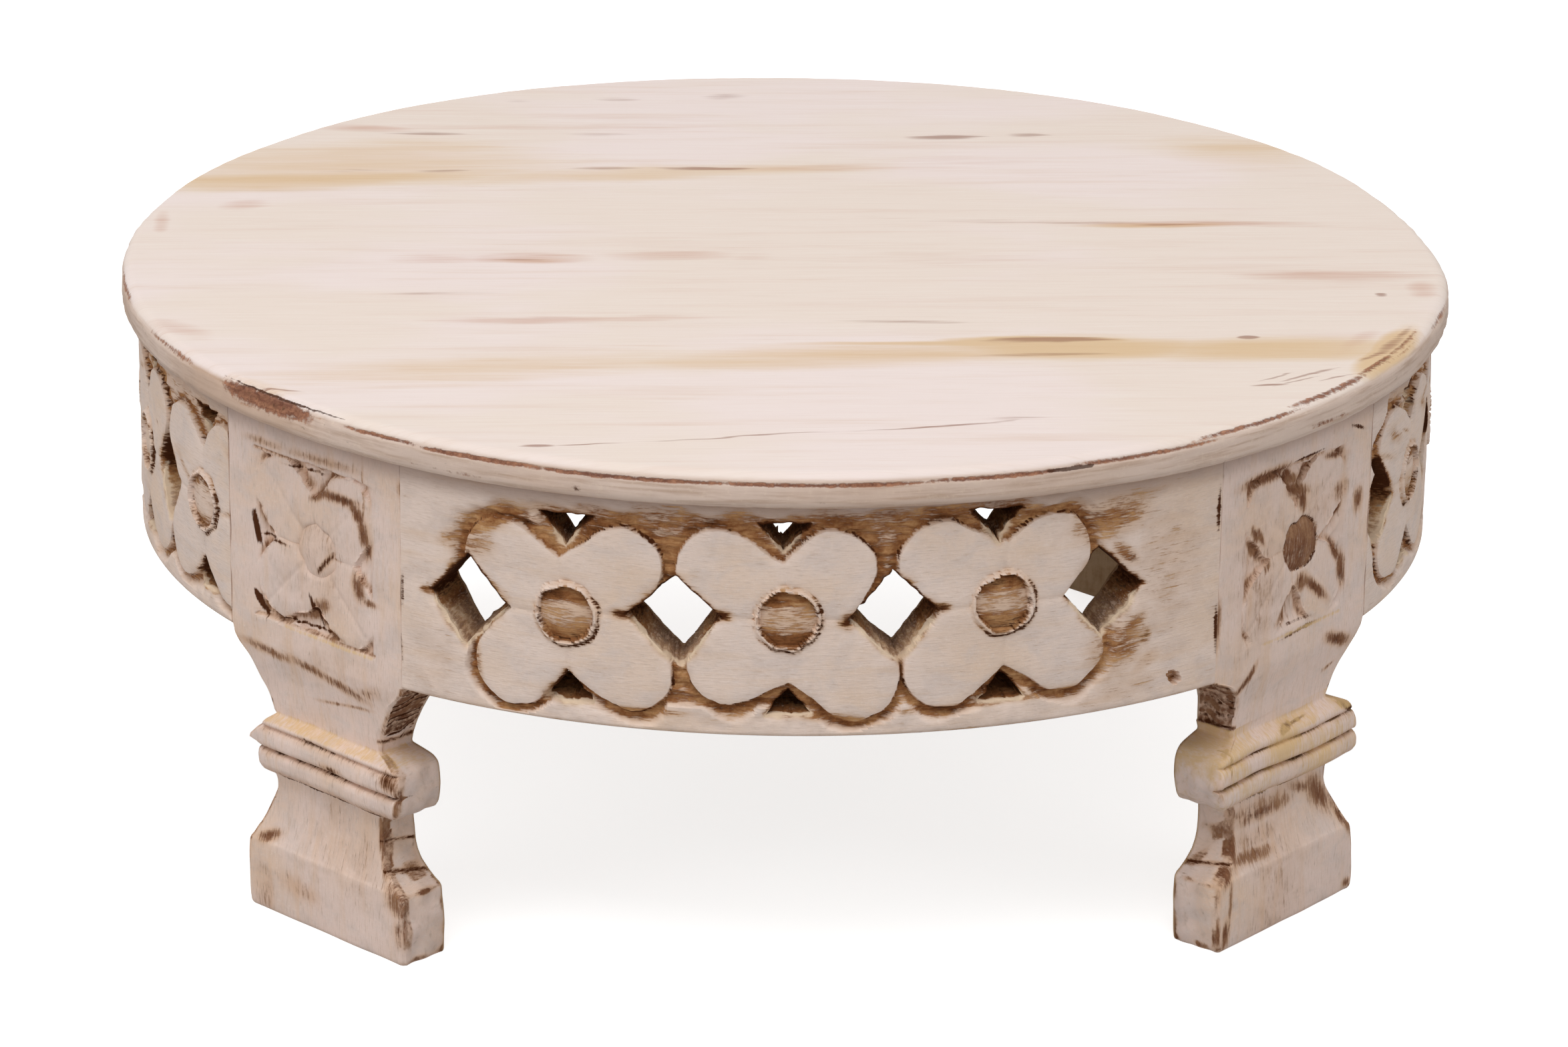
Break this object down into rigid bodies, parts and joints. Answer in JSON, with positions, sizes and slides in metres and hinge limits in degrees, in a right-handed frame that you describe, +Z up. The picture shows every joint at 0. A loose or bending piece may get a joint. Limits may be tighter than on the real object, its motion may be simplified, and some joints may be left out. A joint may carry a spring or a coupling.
{
  "type": "bajot low table",
  "caption": "Round low table of whitewashed hardwood: a plank top on a ring of pierced, flower-carved panels between carved plank legs with a beaded waist.",
  "frame": {"origin": "on the floor under the middle of the round top", "axes": "+Z up through the middle of the top, -Y towards the front panel, +X to the right"},
  "size_m": [0.46, 0.46, 0.188],
  "materials": {
    "painted_top": "matte whitewash worn through to the grain",
    "painted_ring": "matte whitewash over carving, ochre in the sunk ground",
    "painted_legs": "matte whitewash worn brown at the edges",
    "bare_wood": "bare sawn hardwood",
    "dowel_wood": "bare turned hardwood",
    "screw_steel": "dull zinc"
  },
  "bodies": {
    "root": {"top_board_front": "painted_top", "top_board_middle": "painted_top", "top_board_back": "painted_top", "apron_front": "painted_ring", "apron_right": "painted_ring", "apron_back": "painted_ring", "apron_left": "painted_ring", "leg_front_left": "painted_legs", "leg_front_right": "painted_legs", "leg_back_right": "painted_legs", "leg_back_left": "painted_legs", "dowel_front_left_a_upper": "dowel_wood", "dowel_front_left_a_lower": "dowel_wood", "dowel_front_left_b_upper": "dowel_wood", "dowel_front_left_b_lower": "dowel_wood", "dowel_front_right_a_upper": "dowel_wood", "dowel_front_right_a_lower": "dowel_wood", "dowel_front_right_b_upper": "dowel_wood", "dowel_front_right_b_lower": "dowel_wood", "dowel_back_right_a_upper": "dowel_wood", "dowel_back_right_a_lower": "dowel_wood", "dowel_back_right_b_upper": "dowel_wood", "dowel_back_right_b_lower": "dowel_wood", "dowel_back_left_a_upper": "dowel_wood", "dowel_back_left_a_lower": "dowel_wood", "dowel_back_left_b_upper": "dowel_wood", "dowel_back_left_b_lower": "dowel_wood", "batten_left": "bare_wood", "batten_right": "bare_wood", "batten_screw_left_front": "screw_steel", "batten_screw_left_middle": "screw_steel", "batten_screw_left_back": "screw_steel", "batten_screw_right_front": "screw_steel", "batten_screw_right_middle": "screw_steel", "batten_screw_right_back": "screw_steel", "corner_block_front_left": "bare_wood", "corner_block_front_right": "bare_wood", "corner_block_back_right": "bare_wood", "corner_block_back_left": "bare_wood", "block_screw_up_front_left": "screw_steel", "block_screw_up_front_right": "screw_steel", "block_screw_up_back_right": "screw_steel", "block_screw_up_back_left": "screw_steel", "block_screw_out_front_left": "screw_steel", "block_screw_out_front_right": "screw_steel", "block_screw_out_back_right": "screw_steel", "block_screw_out_back_left": "screw_steel"}
  },
  "joints": []
}
